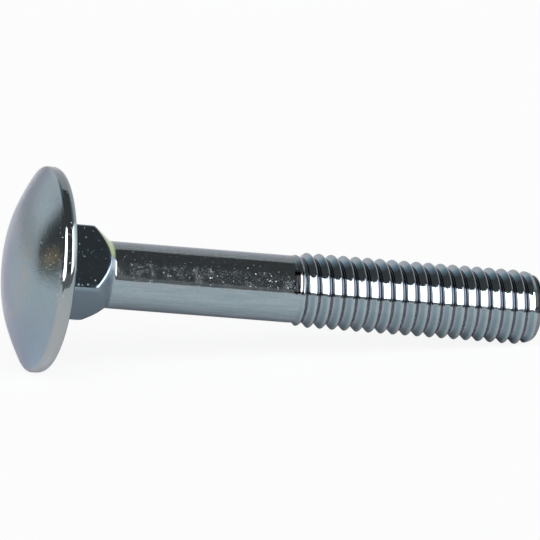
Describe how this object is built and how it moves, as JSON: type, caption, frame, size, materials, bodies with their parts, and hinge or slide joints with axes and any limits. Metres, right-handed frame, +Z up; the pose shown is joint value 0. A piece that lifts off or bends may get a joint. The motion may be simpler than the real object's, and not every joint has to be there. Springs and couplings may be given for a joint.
{
  "type": "carriage bolt",
  "caption": "Metric carriage bolt with a low domed head, a square neck, a plain shank and a coarse right-hand thread, in bright zinc plate, lying on its rim and thread.",
  "frame": {"origin": "centre of the bounding box at the surface that the bolt lies on", "axes": "+Z up; +X along the bolt from its head to its thread end, seen from above; the bolt's own axis dips 7.6 degrees below +X, from the head down to the thread; +Y completes the right-handed frame"},
  "size_m": [0.0432, 0.016, 0.016],
  "materials": {
    "zinc_plated_steel": "bright zinc plated"
  },
  "bodies": {
    "root": {"carriage_bolt": "zinc_plated_steel"}
  },
  "joints": []
}
